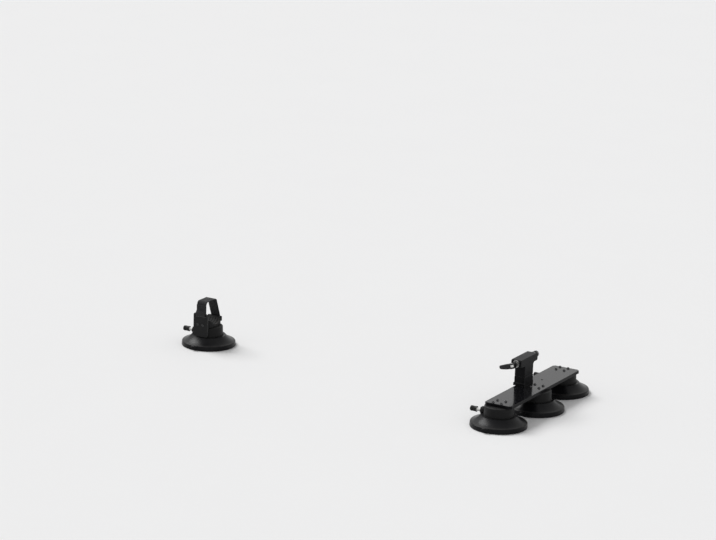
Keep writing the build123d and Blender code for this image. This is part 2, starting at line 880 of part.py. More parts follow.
with BuildPart() as wheel_saddle:
    with BuildSketch(Plane.XY.offset(hub_top)):
        with Locations((rear_axis_x, 0)):
            RectangleRounded(saddle_length, 2 * saddle_half_width, saddle_round)
    extrude(amount=saddle_height)
    with BuildSketch(near_plane(bracket_inner)):
        with Locations((0, lug_middle_z)):
            Rectangle(lug_width, lug_height)
    extrude(amount=-(bracket_gap + lug_root))
    with BuildSketch(Plane.YZ.offset(rear_axis_x)):
        with Locations((0, trough_z)):
            Circle(trough_radius)
    extrude(amount=saddle_length, both=True, mode=Mode.SUBTRACT)
    with BuildSketch(Plane.XY.offset(hub_top)):
        with Locations(*square_pattern(rear_axis_x, 0, hub_screw_pitch)):
            Circle(m5_radius + seat_clearance)
    extrude(amount=saddle_height, mode=Mode.SUBTRACT)
    with BuildSketch(Plane.XY.offset(saddle_screw_z)):
        with Locations(*square_pattern(rear_axis_x, 0, hub_screw_pitch)):
            Circle(m5_head_radius + seat_clearance)
    extrude(amount=saddle_height, mode=Mode.SUBTRACT)
    with BuildSketch(near_plane(bracket_inner)):
        with Locations(*bracket_screw_places):
            Circle(m4_radius + seat_clearance)
    extrude(amount=-m4_length, mode=Mode.SUBTRACT)
    with BuildSketch(far_plane(saddle_half_width)):
        with Locations(*anchor_screw_places):
            Circle(m4_radius + seat_clearance)
    extrude(amount=-anchor_screw_depth, mode=Mode.SUBTRACT)
save(wheel_saddle, "wheel_saddle")

# Rubber pad in the trough, hollowed to the tyre's own ring shape
with BuildPart() as saddle_pad:
    with BuildSketch(Plane.YZ.offset(rear_axis_x)):
        with Locations((0, trough_z)):
            Circle(trough_radius - seat_clearance)
        with Locations((0, trough_z - trough_radius + pad_height / 2)):
            Rectangle(4 * trough_radius, pad_height, mode=Mode.INTERSECT)
    extrude(amount=saddle_length / 2, both=True)
    with Locations((rear_axis_x, 0, trough_z - tyre_radius + wheel_radius)):
        Torus(wheel_radius - tyre_radius, tyre_radius, rotation=(90, 0, 0), mode=Mode.SUBTRACT)
    groove_pitch = saddle_length / (pad_groove_count + 1)
    for k in range(pad_groove_count):
        groove_x = rear_axis_x + (k + 1) * groove_pitch - saddle_length / 2
        with BuildSketch(Plane.YZ.offset(groove_x - pad_groove_width / 2)):
            with Locations((0, trough_z)):
                Circle(tyre_radius + pad_groove_depth)
        extrude(amount=pad_groove_width, mode=Mode.SUBTRACT)
    with BuildSketch(Plane.XY.offset(hub_top)):
        with Locations((rear_axis_x, 0)):
            RectangleRounded(saddle_length, 2 * saddle_half_width, saddle_round)
    extrude(amount=saddle_height, mode=Mode.INTERSECT)
save(saddle_pad, "saddle_pad")

saddle_screw_seats = [
    Plane(origin=(px, py, saddle_screw_z)) for px, py in square_pattern(rear_axis_x, 0, hub_screw_pitch)
]
saddle_screw_length = m5_length - plate_thickness + saddle_screw_floor
save(
    button_screws(saddle_screw_seats, m5_radius, m5_head_radius, m5_head_height, saddle_screw_length),
    "saddle_screws",
)

# Flat bracket on the near side with the strap's slot near its top
slot_top_z = bracket_top - slot_top_margin
with BuildPart() as strap_bracket:
    with BuildSketch(near_plane(bracket_inner)):
        with Locations((0, (bracket_bottom + bracket_top) / 2)):
            bracket_outline = Rectangle(bracket_width, bracket_top - bracket_bottom)
        fillet(bracket_outline.vertices(), bracket_corner)
        with Locations((0, slot_top_z - slot_height / 2)):
            SlotOverall(bracket_width - 2 * slot_side_margin, slot_height, mode=Mode.SUBTRACT)
        with Locations(*bracket_screw_places):
            Circle(m4_radius + seat_clearance, mode=Mode.SUBTRACT)
    extrude(amount=bracket_thickness)
save(strap_bracket, "strap_bracket")

bracket_screw_seats = [
    Plane(origin=(rear_axis_x + px, -bracket_outer, pz), x_dir=(1, 0, 0), z_dir=(0, -1, 0))
    for px, pz in bracket_screw_places
]
save(
    button_screws(bracket_screw_seats, m4_radius, m4_head_radius, m4_head_height, m4_length),
    "bracket_screws",
)

# Webbing strap: from its tail down through the slot, up, over the wheel and down to the anchor
half_strap = strap_thickness / 2
inner_run_y = -(bracket_inner - soft_clearance - half_strap)
outer_run_y = -(bracket_outer + soft_clearance + half_strap)
tail_y = inner_run_y - strap_thickness - strap_tail_gap
far_run_y = saddle_half_width + soft_clearance + half_strap
loop_z = slot_top_z + strap_loop_rise
loop_radius = (inner_run_y - outer_run_y) / 2
strap_line_z = strap_top - half_strap
anchor_bottom_z = anchor_middle_z - anchor_height / 2
with BuildPart() as wheel_strap:
    with BuildSketch(Plane.YZ.offset(rear_axis_x - strap_width / 2)):
        with BuildLine():
            FilletPolyline(
                (tail_y, strap_tail_top),
                (tail_y, bracket_top + strap_tail_high),
                (outer_run_y, bracket_top + strap_tail_low),
                (outer_run_y, loop_z),
                radius=strap_tail_round,
            )
            ThreePointArc(
                (outer_run_y, loop_z),
                ((outer_run_y + inner_run_y) / 2, loop_z - loop_radius),
                (inner_run_y, loop_z),
            )
            FilletPolyline(
                (inner_run_y, loop_z),
                (inner_run_y, strap_line_z),
                (strap_shoulder, strap_line_z),
                (far_run_y, saddle_top),
                (far_run_y, anchor_bottom_z),
                radius=strap_round,
            )
        trace(line_width=strap_thickness)
    extrude(amount=strap_width)
    with BuildSketch(far_plane(saddle_half_width)):
        with Locations(*anchor_screw_places):
            Circle(m4_radius + soft_clearance)
    extrude(amount=2 * strap_thickness, mode=Mode.SUBTRACT)
save(wheel_strap, "wheel_strap")

# Clamp plate over the strap's far end and its screws
anchor_inner = far_run_y + half_strap + seat_clearance
with BuildPart() as anchor_plate:
    with BuildSketch(far_plane(anchor_inner)):
        with Locations((0, anchor_middle_z)):
            RectangleRounded(anchor_width, anchor_height, anchor_corner)
        with Locations(*anchor_screw_places):
            Circle(m4_radius + seat_clearance, mode=Mode.SUBTRACT)
    extrude(amount=anchor_thickness)
save(anchor_plate, "anchor_plate")

anchor_screw_seats = [
    Plane(
        origin=(rear_axis_x - px, anchor_inner + anchor_thickness, pz), x_dir=(-1, 0, 0), z_dir=(0, 1, 0)
    )
    for px, pz in anchor_screw_places
]
save(
    button_screws(anchor_screw_seats, m4_radius, m4_head_radius, m4_head_height, m4_length),
    "anchor_screws",
)
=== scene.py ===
import bpy
import json
import math
from mathutils import Matrix, Vector


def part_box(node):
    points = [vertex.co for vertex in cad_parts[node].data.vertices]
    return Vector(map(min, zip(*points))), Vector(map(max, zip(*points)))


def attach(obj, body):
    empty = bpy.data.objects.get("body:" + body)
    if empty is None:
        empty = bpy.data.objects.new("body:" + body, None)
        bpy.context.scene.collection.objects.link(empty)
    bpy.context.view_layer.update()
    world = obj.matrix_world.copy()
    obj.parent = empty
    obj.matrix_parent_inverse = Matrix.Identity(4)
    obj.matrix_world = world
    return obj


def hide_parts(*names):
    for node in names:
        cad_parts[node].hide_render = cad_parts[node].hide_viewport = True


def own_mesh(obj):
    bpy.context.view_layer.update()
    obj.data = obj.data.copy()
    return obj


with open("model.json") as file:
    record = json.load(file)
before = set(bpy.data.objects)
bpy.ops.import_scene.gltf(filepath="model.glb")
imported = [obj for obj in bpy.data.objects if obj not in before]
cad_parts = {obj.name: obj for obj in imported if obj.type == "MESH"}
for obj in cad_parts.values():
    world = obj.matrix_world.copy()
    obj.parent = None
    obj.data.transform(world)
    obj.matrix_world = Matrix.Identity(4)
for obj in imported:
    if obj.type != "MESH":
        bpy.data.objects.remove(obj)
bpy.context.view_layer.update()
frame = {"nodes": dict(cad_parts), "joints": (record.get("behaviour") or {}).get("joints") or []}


# Rubber cups
# Four black moulded rubber cups hold the carrier down by vacuum. Each has fine rings from its
# mould, a dull skin with dust in the crease, and edges rubbed smooth by handling.
nodes = frame["nodes"]
sides = ("right", "middle", "left", "rear")
crease_radius = 0.070
crease_low, crease_high = 0.010, 0.019
ring_inner, ring_outer = 0.0485, 0.0675
rim_inner, rim_outer = 0.0735, 0.0765
rings_per_metre, rim_rings_per_metre = 620, 900
black_rubber = (0.007, 0.007, 0.008)
crease_dust = (0.040, 0.039, 0.037)
rubbed_rubber = (0.026, 0.026, 0.027)


class Field:
    """One value that varies over a surface: arithmetic on it adds Math nodes."""

    def __init__(self, tree, socket):
        self.tree = tree
        self.socket = socket

    def math(self, operation, *others):
        node = self.tree.nodes.new("ShaderNodeMath")
        node.operation = operation
        for place, value in enumerate((self, *others)):
            feed(self.tree, node.inputs[place], value)
        return Field(self.tree, node.outputs[0])

    def __add__(self, other):
        return self.math("ADD", other)

    def __mul__(self, other):
        return self.math("MULTIPLY", other)

    def __sub__(self, other):
        return self.math("SUBTRACT", other)

    def __rsub__(self, other):
        return (self * -1) + other

    def __truediv__(self, other):
        return self.math("DIVIDE", other)

    def __pow__(self, other):
        return self.math("POWER", other)

    __radd__ = __add__
    __rmul__ = __mul__

    def wave(self):
        """Sine of the value taken in whole turns, from 0 to 1."""
        return (self * math.tau).math("SINE") * 0.5 + 0.5

    def kept(self):
        """The value held between 0 and 1."""
        return self.math("MAXIMUM", 0.0).math("MINIMUM", 1.0)

    def between(self, low, high, soft):
        """1 where the value lies between low and high, with soft ends."""
        return ((self - low) / soft).kept() * ((high - self) / soft).kept()


def feed(tree, socket, value):
    """Link a field to a socket, or set the socket to a plain value."""
    if isinstance(value, Field):
        tree.links.new(value.socket, socket)
    else:
        socket.default_value = value


class Nodes:
    """A tree to which nodes are added."""

    def __init__(self, tree):
        self.tree = tree

    def node(self, kind, settings=None, sockets=None, out=0):
        """Add a node: its settings first, then its sockets, and give back one output."""
        node = self.tree.nodes.new(kind)
        for key, value in (settings or {}).items():
            setattr(node, key, value)
        for key, value in (sockets or {}).items():
            feed(self.tree, node.inputs[key], value)
        return Field(self.tree, node.outputs[out])


class Finish(Nodes):
    """A material made of nodes round one Principled shader."""

    def __init__(self, name, **constants):
        self.material = bpy.data.materials.new(name)
        self.material.use_nodes = True
        super().__init__(self.material.node_tree)
        self.shader = self.tree.nodes["Principled BSDF"]
        for socket, value in constants.items():
            self.set(socket.replace("_", " "), value)
        self.places = self.node("ShaderNodeTexCoord", out="Object")

    def set(self, socket, value):
        feed(self.tree, self.shader.inputs[socket], value)

    def noise(self, scale, detail=4.0, roughness=0.55, vector=None):
        """Cloudy pattern from 0 to 1; scale is in patches per metre."""
        sockets = {"Vector": vector or self.places, "Scale": scale, "Detail": detail}
        sockets["Roughness"] = roughness
        return self.node("ShaderNodeTexNoise", {}, sockets, "Fac")

    def moved(self, place=(0, 0, 0), turn=(0, 0, 0), scale=(1, 1, 1)):
        """Object coordinates after a move, a turn and a stretch of the pattern."""
        sockets = {"Vector": self.places, "Location": place, "Rotation": turn, "Scale": scale}
        return self.node("ShaderNodeMapping", {}, sockets, "Vector")

    def axes(self, vector=None):
        """The three coordinates as fields."""
        split = self.tree.nodes.new("ShaderNodeSeparateXYZ")
        feed(self.tree, split.inputs[0], vector or self.places)
        return [Field(self.tree, output) for output in split.outputs]

    def shades(self, mask, first, second):
        """Colour that goes from first to second as the mask goes from 0 to 1."""
        sockets = {"Factor": mask, 6: (*first, 1) if isinstance(first, tuple) else first}
        sockets[7] = (*second, 1) if isinstance(second, tuple) else second
        return self.node("ShaderNodeMix", {"data_type": "RGBA"}, sockets, 2)

    def edges(self, radius, strength):
        """1 along the edges, where handling rubs a part first."""
        round_normal = self.node("ShaderNodeBevel", {"samples": 4}, {"Radius": radius}, "Normal")
        plain_normal = self.node("ShaderNodeNewGeometry", {}, {}, "Normal")
        sockets = {0: round_normal, 1: plain_normal}
        turned = self.node("ShaderNodeVectorMath", {"operation": "DOT_PRODUCT"}, sockets, "Value")
        return ((1 - turned) * strength).kept()

    def bump(self, height, distance):
        """Let a height pattern stand out by a distance in metres."""
        sockets = {"Height": height, "Distance": distance, "Strength": 1.0}
        self.set("Normal", self.node("ShaderNodeBump", {}, sockets, "Normal"))


def dress(finish, *names):
    """Give CAD nodes a finish."""
    for name in names:
        mesh = nodes[name].data
        mesh.materials.clear()
        mesh.materials.append(finish.material)


def cup_finish(name, centre_x, centre_y):
    """Moulded rubber whose rings and dust follow one cup's own axis."""
    rubber = Finish(name, IOR=1.5, Specular_IOR_Level=0.09)
    x, y, z = rubber.axes(rubber.moved(place=(-centre_x, -centre_y, 0)))
    radius = (x * x + y * y) ** 0.5
    skin = rubber.noise(1400, 3)
    cloud = rubber.noise(22, 5)
    crease = (1 - ((radius - crease_radius) * 260).math("ABSOLUTE")).kept()
    crease = crease * z.between(crease_low, crease_high, soft=0.003)
    dust = (crease * 0.7 + (cloud - 0.52).kept() * 1.2).kept() * (0.4 + skin * 0.8)
    rubbed = rubber.edges(radius=0.0012, strength=2.2)
    colour = rubber.shades(dust.kept(), black_rubber, crease_dust)
    rubber.set("Base Color", rubber.shades(rubbed * 0.5, colour, rubbed_rubber))
    rubber.set("Roughness", 0.23 + cloud * 0.12 + dust * 0.2 - rubbed * 0.05)
    rings = (radius * rings_per_metre).wave() * radius.between(ring_inner, ring_outer, soft=0.0015)
    rim_rings = (z * rim_rings_per_metre).wave() * radius.between(rim_inner, rim_outer, soft=0.0004)
    rubber.bump(rings * 0.35 + rim_rings * 0.5 + skin * 0.22 + cloud * 0.3, distance=0.00014)
    return rubber


cup_rubber = {}
for side in sides:
    low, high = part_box(f"{side}_pump_body")
    centre_y = (low.y + high.y) / 2
    centre_x = high.x - (high.y - low.y) / 2
    cup_rubber[side] = cup_finish(f"{side}_cup_rubber", centre_x, centre_y)
    dress(cup_rubber[side], f"{side}_cup")


# Pump bodies, collars and knobs
# Glass-filled black nylon, moulded with a fine spark grain; the collar screws into the barrel
# and the knob is pressed on the rod. Fingers polish the knobs and scuff the hubs' edges.
def nylon_finish(name, grain, gloss, shade):
    """Grained black nylon; a higher gloss makes it smoother."""
    nylon = Finish(name, IOR=1.52, Specular_IOR_Level=0.13)
    fine = nylon.node("ShaderNodeTexVoronoi", {}, {"Vector": nylon.places, "Scale": grain}, "Distance")
    cloud = nylon.noise(34, 5)
    scuff = nylon.noise(160, 6, 0.7, nylon.moved(scale=(1, 0.35, 2.6)))
    marks = (scuff - 0.60).kept() * 4.0
    worn = nylon.edges(radius=0.0009, strength=2.6) * (0.35 + cloud)
    dark, light = (shade * 0.7, shade * 0.7, shade * 0.72), (shade * 1.4, shade * 1.4, shade * 1.4)
    base = nylon.shades(cloud, dark, light)
    scuffed = nylon.shades(marks.kept() * 0.4, base, (0.06, 0.06, 0.06))
    nylon.set("Base Color", nylon.shades(worn.kept() * 0.5, scuffed, (0.085, 0.085, 0.083)))
    nylon.set("Roughness", (0.56 - gloss * 0.3) + cloud * 0.12 + marks * 0.05)
    nylon.bump(fine * 0.5 + scuff * 0.2, distance=0.00009)
    return nylon


class Pattern(Nodes):
    """Geometry nodes with named sizes, run once over a guide to leave a plain mesh."""

    def __init__(self, name, **sizes):
        super().__init__(bpy.data.node_groups.new(name, "GeometryNodeTree"))
        face = self.tree.interface
        face.new_socket("Guide", in_out="INPUT", socket_type="NodeSocketGeometry")
        kinds = {int: "NodeSocketInt", float: "NodeSocketFloat", tuple: "NodeSocketVector"}
        for label, size in sizes.items():
            socket = face.new_socket(label, in_out="INPUT", socket_type=kinds[type(size)])
            socket.default_value = size
        face.new_socket("finish", in_out="INPUT", socket_type="NodeSocketMaterial")
        face.new_socket("Made", in_out="OUTPUT", socket_type="NodeSocketGeometry")
        given = self.tree.nodes.new("NodeGroupInput").outputs
        self.given = {socket.name: Field(self.tree, socket) for socket in given if socket.name}

    def close(self, geometry):
        """End the tree: real geometry, smooth, in its finish."""
        real = self.node("GeometryNodeRealizeInstances", {}, {0: geometry})
        smooth = self.node("GeometryNodeSetShadeSmooth", {}, {0: real})
        finished = {"Geometry": smooth, "Material": self.given["finish"]}
        dyed = self.node("GeometryNodeSetMaterial", {}, finished)
        feed(self.tree, self.tree.nodes.new("NodeGroupOutput").inputs[0], dyed)

    def make(self, name, body, finish, points, lines, **sizes):
        """Run the tree over guide lines and leave its mesh on a body."""
        guide_mesh = bpy.data.meshes.new(name + "_guide")
        guide_mesh.from_pydata(points, lines, [])
        guide = bpy.data.objects.new(name + "_guide", guide_mesh)
        bpy.context.scene.collection.objects.link(guide)
        layer = guide.modifiers.new("pattern", "NODES")
        layer.node_group = self.tree
        for socket in self.tree.interface.items_tree:
            if socket.in_out == "INPUT" and socket.name in sizes:
                layer[socket.identifier] = sizes[socket.name]
            elif socket.in_out == "INPUT" and socket.name == "finish":
                layer[socket.identifier] = finish.material
        bpy.context.view_layer.update()
        evaluated = guide.evaluated_get(bpy.context.evaluated_depsgraph_get())
        made = bpy.data.meshes.new_from_object(evaluated)
        guide.modifiers.remove(layer)
        bpy.data.objects.remove(guide)
        made.name = name
        piece = bpy.data.objects.new(name, made)
        bpy.context.scene.collection.objects.link(piece)
        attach(piece, body)
        return piece


hub_nylon = nylon_finish("hub_nylon", grain=1900, gloss=0.35, shade=0.008)
knob_nylon = nylon_finish("knob_nylon", grain=2600, gloss=0.7, shade=0.008)

nowhere = (0.0, 0.0, 0.0)
ribs = Pattern("ribs", count=1, rib_radius=0.0005, turn=0.0, step=nowhere, centre=nowhere)
rib_line = ribs.node("GeometryNodeMeshToCurve", {}, {"Mesh": ribs.given["Guide"]})
rib_round = ribs.node(
    "GeometryNodeCurvePrimitiveCircle", {}, {"Resolution": 8, "Radius": ribs.given["rib_radius"]}
)
rib = ribs.node(
    "GeometryNodeCurveToMesh", {}, {"Curve": rib_line, "Profile Curve": rib_round, "Fill Caps": True}
)
place_index = ribs.node("GeometryNodeInputIndex")
rib_step = ribs.node(
    "ShaderNodeVectorMath", {"operation": "SCALE"}, {0: ribs.given["step"], "Scale": place_index}
)
rib_place = ribs.node("ShaderNodeVectorMath", {}, {0: rib_step, 1: ribs.given["centre"]})
rib_turn = ribs.node("ShaderNodeCombineXYZ", {}, {0: place_index * ribs.given["turn"]})
rib_spots = ribs.node("GeometryNodePoints", {}, {"Count": ribs.given["count"], "Position": rib_place})
set_ribs = {"Points": rib_spots, "Instance": rib, "Rotation": rib_turn}
ribs.close(ribs.node("GeometryNodeInstanceOnPoints", {}, set_ribs))

knob_rib_count = 20
knob_rib_radius = 0.00045
knob_rib_reach = 0.66
knob_rib_steps = 12
knob_waist = 0.0009
rib_sunk, rib_end_sunk = 0.00018, 0.0006
for side in sides:
    dress(hub_nylon, f"{side}_pump_body")
    dress(knob_nylon, f"{side}_pump_collar", f"{side}_plunger_knob")
    low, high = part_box(f"{side}_plunger_knob")
    knob_middle, knob_half = (low + high) / 2, (high.x - low.x) / 2
    knob_radius = (high.y - low.y) / 2
    rib_points = []
    for k in range(knob_rib_steps + 1):
        share = 2 * k / knob_rib_steps - 1
        sunk = rib_end_sunk if k in (0, knob_rib_steps) else rib_sunk
        rib_height = knob_radius - knob_waist * (1 - share**2 * 0.5) - sunk
        rib_points.append((share * knob_half * knob_rib_reach, 0, rib_height))
    rib_lines = [(k, k + 1) for k in range(knob_rib_steps)]
    ribs.make(
        f"{side}_knob_ribs", f"{side}_plunger", knob_nylon, rib_points, rib_lines, count=knob_rib_count,
        rib_radius=knob_rib_radius, turn=math.tau / knob_rib_count, centre=knob_middle,
    )


# Grip ribs on the release tabs
# Each cup has a rubber tab on its rim that a finger lifts to let the air in. Three ribs moulded
# across it give the finger a hold.
units = {side: "rear_unit" if side == "rear" else "front_unit" for side in sides}
tab_width = 0.0115
tab_top = 0.0118
tab_rib_count = 3
tab_rib_pitch = 0.0013
tab_rib_radius = 0.0004
tab_rib_inset = 0.0011
tab_rib_dip = 0.0007
tab_rib_shares = (-1, -0.85, 0, 0.85, 1)
for side in sides:
    low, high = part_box(f"{side}_cup")
    body_low, body_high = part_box(f"{side}_pump_body")
    middle_y = (body_low.y + body_high.y) / 2
    outward = 1 if high.y - middle_y > middle_y - low.y else -1
    middle_x = body_high.x - (body_high.y - body_low.y) / 2
    tab_end = high.y if outward > 0 else low.y
    rib_points = []
    for share in tab_rib_shares:
        rib_points.append((share * tab_width / 2, 0, -tab_rib_dip if abs(share) == 1 else 0))
    rib_lines = [(k, k + 1) for k in range(len(rib_points) - 1)]
    ribs.make(
        f"{side}_tab_ribs", units[side], cup_rubber[side], rib_points, rib_lines, count=tab_rib_count,
        rib_radius=tab_rib_radius, step=Vector((0, -outward * tab_rib_pitch, 0)),
        centre=Vector((middle_x, tab_end - outward * tab_rib_inset, tab_top)),
    )


# Plunger rods
# Turned white acetal, so that it shows from afar how far a pump stands out.
# Grease from the seal greys them in rings, and light scratches run along them.
rod_acetal = Finish("rod_acetal", IOR=1.48, Specular_IOR_Level=0.5)
along = rod_acetal.axes()[0]
greased = rod_acetal.noise(60, 4, 0.6, rod_acetal.moved(scale=(9, 1, 1)))
grease = (greased - 0.45).kept() * 1.6
scratch = rod_acetal.noise(900, 3, 0.6, rod_acetal.moved(scale=(0.05, 1, 1)))
rod_white = rod_acetal.shades(grease.kept() * 0.35, (0.80, 0.80, 0.78), (0.42, 0.41, 0.38))
rod_acetal.set("Base Color", rod_white)
rod_acetal.set("Roughness", 0.26 + scratch * 0.16 + grease * 0.1)
rod_acetal.bump(scratch + (along * 2500).wave() * 0.25, distance=0.00003)
for side in sides:
    dress(rod_acetal, f"{side}_plunger_rod")


# Seals and valves inside the pumps
# Black seal rings and umbrella valves, moulded in soft rubber with a shine of silicone grease.
# The rings sit in the pistons' grooves, and the valves over the air holes.
seal_rubber = Finish("seal_rubber", IOR=1.5, Specular_IOR_Level=0.5)
film = seal_rubber.noise(300, 4)
seal_rubber.set("Base Color", seal_rubber.shades(film, (0.010, 0.010, 0.010), (0.022, 0.022, 0.022)))
seal_rubber.set("Roughness", 0.2 + film * 0.25)
seal_rubber.bump(seal_rubber.noise(1800, 3), distance=0.00003)
dress(seal_rubber, *[f"{side}_{name}" for side in sides for name in ("piston_seal", "check_valve")])


# Return springs
# Coiled from bright stainless wire with closed ends, one in each barrel between the bore's end
# and the piston. A knob pressed home shortens the real spring by the pump's stroke; this coil keeps its
# rest length.
spring_wire = Finish("spring_wire", Metallic=1.0)
drawn = spring_wire.noise(700, 4, 0.6, spring_wire.moved(scale=(0.4, 2, 2)))
spring_wire.set("Base Color", spring_wire.shades(drawn, (0.50, 0.50, 0.49), (0.68, 0.68, 0.67)))
spring_wire.set("Roughness", 0.2 + drawn * 0.2)
spring_wire.bump(drawn, distance=0.00003)

coils = Pattern(
    "coils", turns=1.0, coil_radius=0.005, length=0.02, wire_radius=0.0005, end_closing=0.5,
    start=nowhere,
)
coil_sizes = {"Resolution": 28, "Rotations": coils.given["turns"], "Height": coils.given["length"]}
coil_sizes["Start Radius"] = coil_sizes["End Radius"] = coils.given["coil_radius"]
coil_line = coils.node("GeometryNodeCurveSpiral", {}, coil_sizes)
coil_share = coils.node("GeometryNodeSplineParameter")
coil_lag = (coil_share * math.tau).math("SINE") * coils.given["end_closing"] / math.tau
coil_along = coil_share - coil_lag
coil_spot = coils.node("GeometryNodeInputPosition")
coil_x, coil_y = [coils.node("ShaderNodeSeparateXYZ", {}, {0: coil_spot}, axis) for axis in ("X", "Y")]
coil_laid = coils.node(
    "ShaderNodeCombineXYZ", {}, {0: coil_along * coils.given["length"], 1: coil_x, 2: coil_y}
)
coil_place = coils.node("ShaderNodeVectorMath", {}, {0: coil_laid, 1: coils.given["start"]})
coil_path = coils.node("GeometryNodeSetPosition", {}, {"Geometry": coil_line, "Position": coil_place})
wire_round = coils.node(
    "GeometryNodeCurvePrimitiveCircle", {}, {"Resolution": 10, "Radius": coils.given["wire_radius"]}
)
swept_wire = {"Curve": coil_path, "Profile Curve": wire_round, "Fill Caps": True}
coils.close(coils.node("GeometryNodeCurveToMesh", {}, swept_wire))

spring_wire_radius = 0.0006
spring_turns = 5.0
pump_joints = [joint for joint in frame["joints"] if "pump_stroke" in joint["name"]]
pump_stroke = {joint["name"]: max(joint["range_m"]) for joint in pump_joints}
for side in sides:
    low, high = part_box(f"{side}_return_spring")
    spring_length = high.x - low.x
    coil_start = Vector((low.x + spring_wire_radius, (low.y + high.y) / 2, (low.z + high.z) / 2))
    spring = coils.make(
        f"{side}_wire_spring", units[side], spring_wire, [(0, 0, 0)], [], turns=spring_turns,
        coil_radius=(high.y - low.y) / 2 - spring_wire_radius, wire_radius=spring_wire_radius,
        length=spring_length - 2 * spring_wire_radius, start=coil_start,
    )
    stroke = f"{side}_pump_stroke"
    1 - pump_stroke[stroke] / spring_length
    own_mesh(spring)
    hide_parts(f"{side}_return_spring")


# Clamp discs
# Plain turned aluminium discs with a black coat, screwed up under the hubs so that they pinch
# the rubber from below. The tool's fine rings show through the coat.
disc_coat = Finish("disc_coat", IOR=1.5, Specular_IOR_Level=0.45)
disc_cloud = disc_coat.noise(90, 5)
turning = disc_coat.noise(1200, 2, 0.5, disc_coat.moved(scale=(1, 0.08, 1)))
disc_coat.set("Base Color", disc_coat.shades(disc_cloud, (0.014, 0.014, 0.015), (0.03, 0.03, 0.03)))
disc_coat.set("Roughness", 0.34 + disc_cloud * 0.15)
disc_coat.bump(turning, distance=0.00004)
dress(disc_coat, *[f"{side}_clamp_disc" for side in sides])


# Base plate
# Milled aluminium plate, black anodised and screwed down on three hubs. Only its top is polished,
# so it mirrors the riser. Grit has left hairlines along it, and its corners are rubbed thin.
polish_depth, polish_fade = 0.0004, 0.0003
plate_coat = Finish("plate_coat", IOR=1.5, Specular_IOR_Level=0.06, Coat_IOR=1.23, Coat_Roughness=0.1)
plate_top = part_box("base_plate")[1].z
polished = ((plate_coat.axes()[2] - (plate_top - polish_depth)) / polish_fade).kept()
plate_cloud = plate_coat.noise(18, 5)
hairline_way = plate_coat.moved(turn=(0, 0, 0.06), scale=(3.2, 0.06, 1))
hairline = plate_coat.noise(420, 3, 0.7, hairline_way)
cross_way = plate_coat.moved(turn=(0, 0, -0.9), scale=(2.6, 0.07, 1))
cross_line = plate_coat.noise(300, 3, 0.7, cross_way)
lines = ((hairline - 0.62).kept() * 5 + (cross_line - 0.66).kept() * 6).kept()
thin_coat = plate_coat.edges(radius=0.0007, strength=3.0) * (0.2 + plate_coat.noise(140, 4) * 0.9)
plate_base = plate_coat.shades(plate_cloud, (0.003, 0.003, 0.004), (0.007, 0.007, 0.008))
plate_lines = plate_coat.shades(lines * 0.25, plate_base, (0.07, 0.07, 0.07))
plate_worn = plate_coat.shades(thin_coat.kept() * 0.55, plate_lines, (0.22, 0.22, 0.22))
plate_coat.set("Base Color", plate_worn)
plate_coat.set("Roughness", 0.30 - polished * 0.16 + plate_cloud * 0.07 + lines * 0.12)
plate_coat.set("Coat Weight", polished * (0.49 - lines * 0.25))
plate_coat.bump(lines * -0.5 + plate_coat.noise(60, 4) * 0.5, distance=0.00002)
dress(plate_coat, "base_plate")


# Screws
# Socket screws of black-oxide steel hold the hubs, the bracket and the strap's anchor; the
# saddle's, the discs' and the riser's are zinc plated. Keys brighten their sockets.
def screw_finish(name, dark, bright, metal, rough):
    """Screw steel with its coating rubbed through along the edges."""
    steel = Finish(name, Metallic=metal)
    patch = steel.noise(240, 5)
    bare = (steel.edges(radius=0.0005, strength=3.5) * (0.3 + patch)).kept()
    coated = steel.shades(patch, dark, bright)
    steel.set("Base Color", steel.shades(bare, coated, (0.40, 0.40, 0.39)))
    steel.set("Roughness", rough + patch * 0.14 - bare * 0.06)
    steel.bump(steel.noise(1500, 3), distance=0.00003)
    return steel


oxide_screws = screw_finish(
    "oxide_screws", dark=(0.022, 0.022, 0.024), bright=(0.05, 0.05, 0.052), metal=0.7, rough=0.26
)
zinc_screws = screw_finish(
    "zinc_screws", dark=(0.42, 0.43, 0.44), bright=(0.58, 0.58, 0.58), metal=1.0, rough=0.28
)
dress(oxide_screws, "hub_screws", "bracket_screws", "anchor_screws")
dress(zinc_screws, "saddle_screws", "fork_bolts", "front_disc_screws", "rear_disc_screws")


# Riser and upright
# Two blocks milled from black anodised aluminium bar and bolted through from under the plate.
# The cutter's fine lines run along them, and the edges show a little metal.
block_coat = Finish("block_coat", IOR=1.5, Specular_IOR_Level=0.05)
block_cloud = block_coat.noise(30, 5)
feed_lines = block_coat.noise(900, 2, 0.5, block_coat.moved(scale=(1, 1, 0.04)))
chips = (block_coat.noise(420, 6, 0.7) - 0.66).kept() * 6
bared = block_coat.edges(radius=0.0008, strength=3.0) * (0.25 + block_coat.noise(170, 4))
block_base = block_coat.shades(block_cloud, (0.005, 0.005, 0.006), (0.012, 0.012, 0.013))
block_chips = block_coat.shades(chips.kept() * 0.35, block_base, (0.12, 0.12, 0.12))
block_coat.set("Base Color", block_coat.shades(bared.kept() * 0.6, block_chips, (0.24, 0.24, 0.24)))
block_coat.set("Roughness", 0.24 + block_cloud * 0.14 + feed_lines * 0.06)
block_coat.bump(feed_lines * 0.7 + block_cloud * 0.4, distance=0.00003)
dress(block_coat, "fork_riser", "fork_upright")


